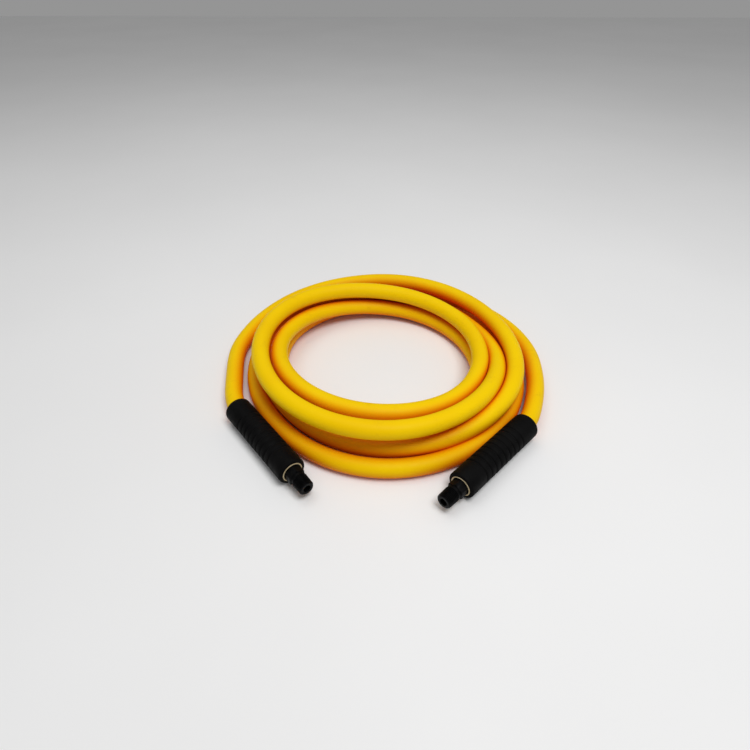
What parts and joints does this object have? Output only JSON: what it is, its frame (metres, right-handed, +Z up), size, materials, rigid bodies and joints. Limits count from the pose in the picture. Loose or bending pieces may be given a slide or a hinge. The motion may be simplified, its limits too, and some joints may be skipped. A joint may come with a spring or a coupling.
{
  "type": "coiled air hose",
  "caption": "Yellow compressed-air hose wound into a loose flat coil, both ends pointing forward, each with a black ribbed bend restrictor and a black male pipe fitting",
  "frame": {"origin": "on the floor, under the middle of the whole object's box", "axes": "+X to the right and -Y to the front, where both hose ends point; +Z up"},
  "size_m": [0.3285, 0.3321, 0.052],
  "materials": {
    "hose_cover": "satin extruded yellow cover",
    "hose_braid": "woven textile braid",
    "hose_liner": "smooth black liner",
    "restrictor": "matte moulded black",
    "ferrule": "crimped, satin",
    "stem": "matte black coated steel"
  },
  "bodies": {
    "root": {"left_bend_restrictor": "restrictor", "left_ferrule": "ferrule", "left_stem": "stem", "left_hose_end_cover": "hose_cover", "left_hose_end_braid": "hose_braid", "left_hose_end_liner": "hose_liner", "left_hose_tail": "hose_cover", "right_bend_restrictor": "restrictor", "right_ferrule": "ferrule", "right_stem": "stem", "right_hose_end_cover": "hose_cover", "right_hose_end_braid": "hose_braid", "right_hose_end_liner": "hose_liner", "right_hose_tail": "hose_cover", "hose_coil": "hose_cover"}
  },
  "joints": []
}
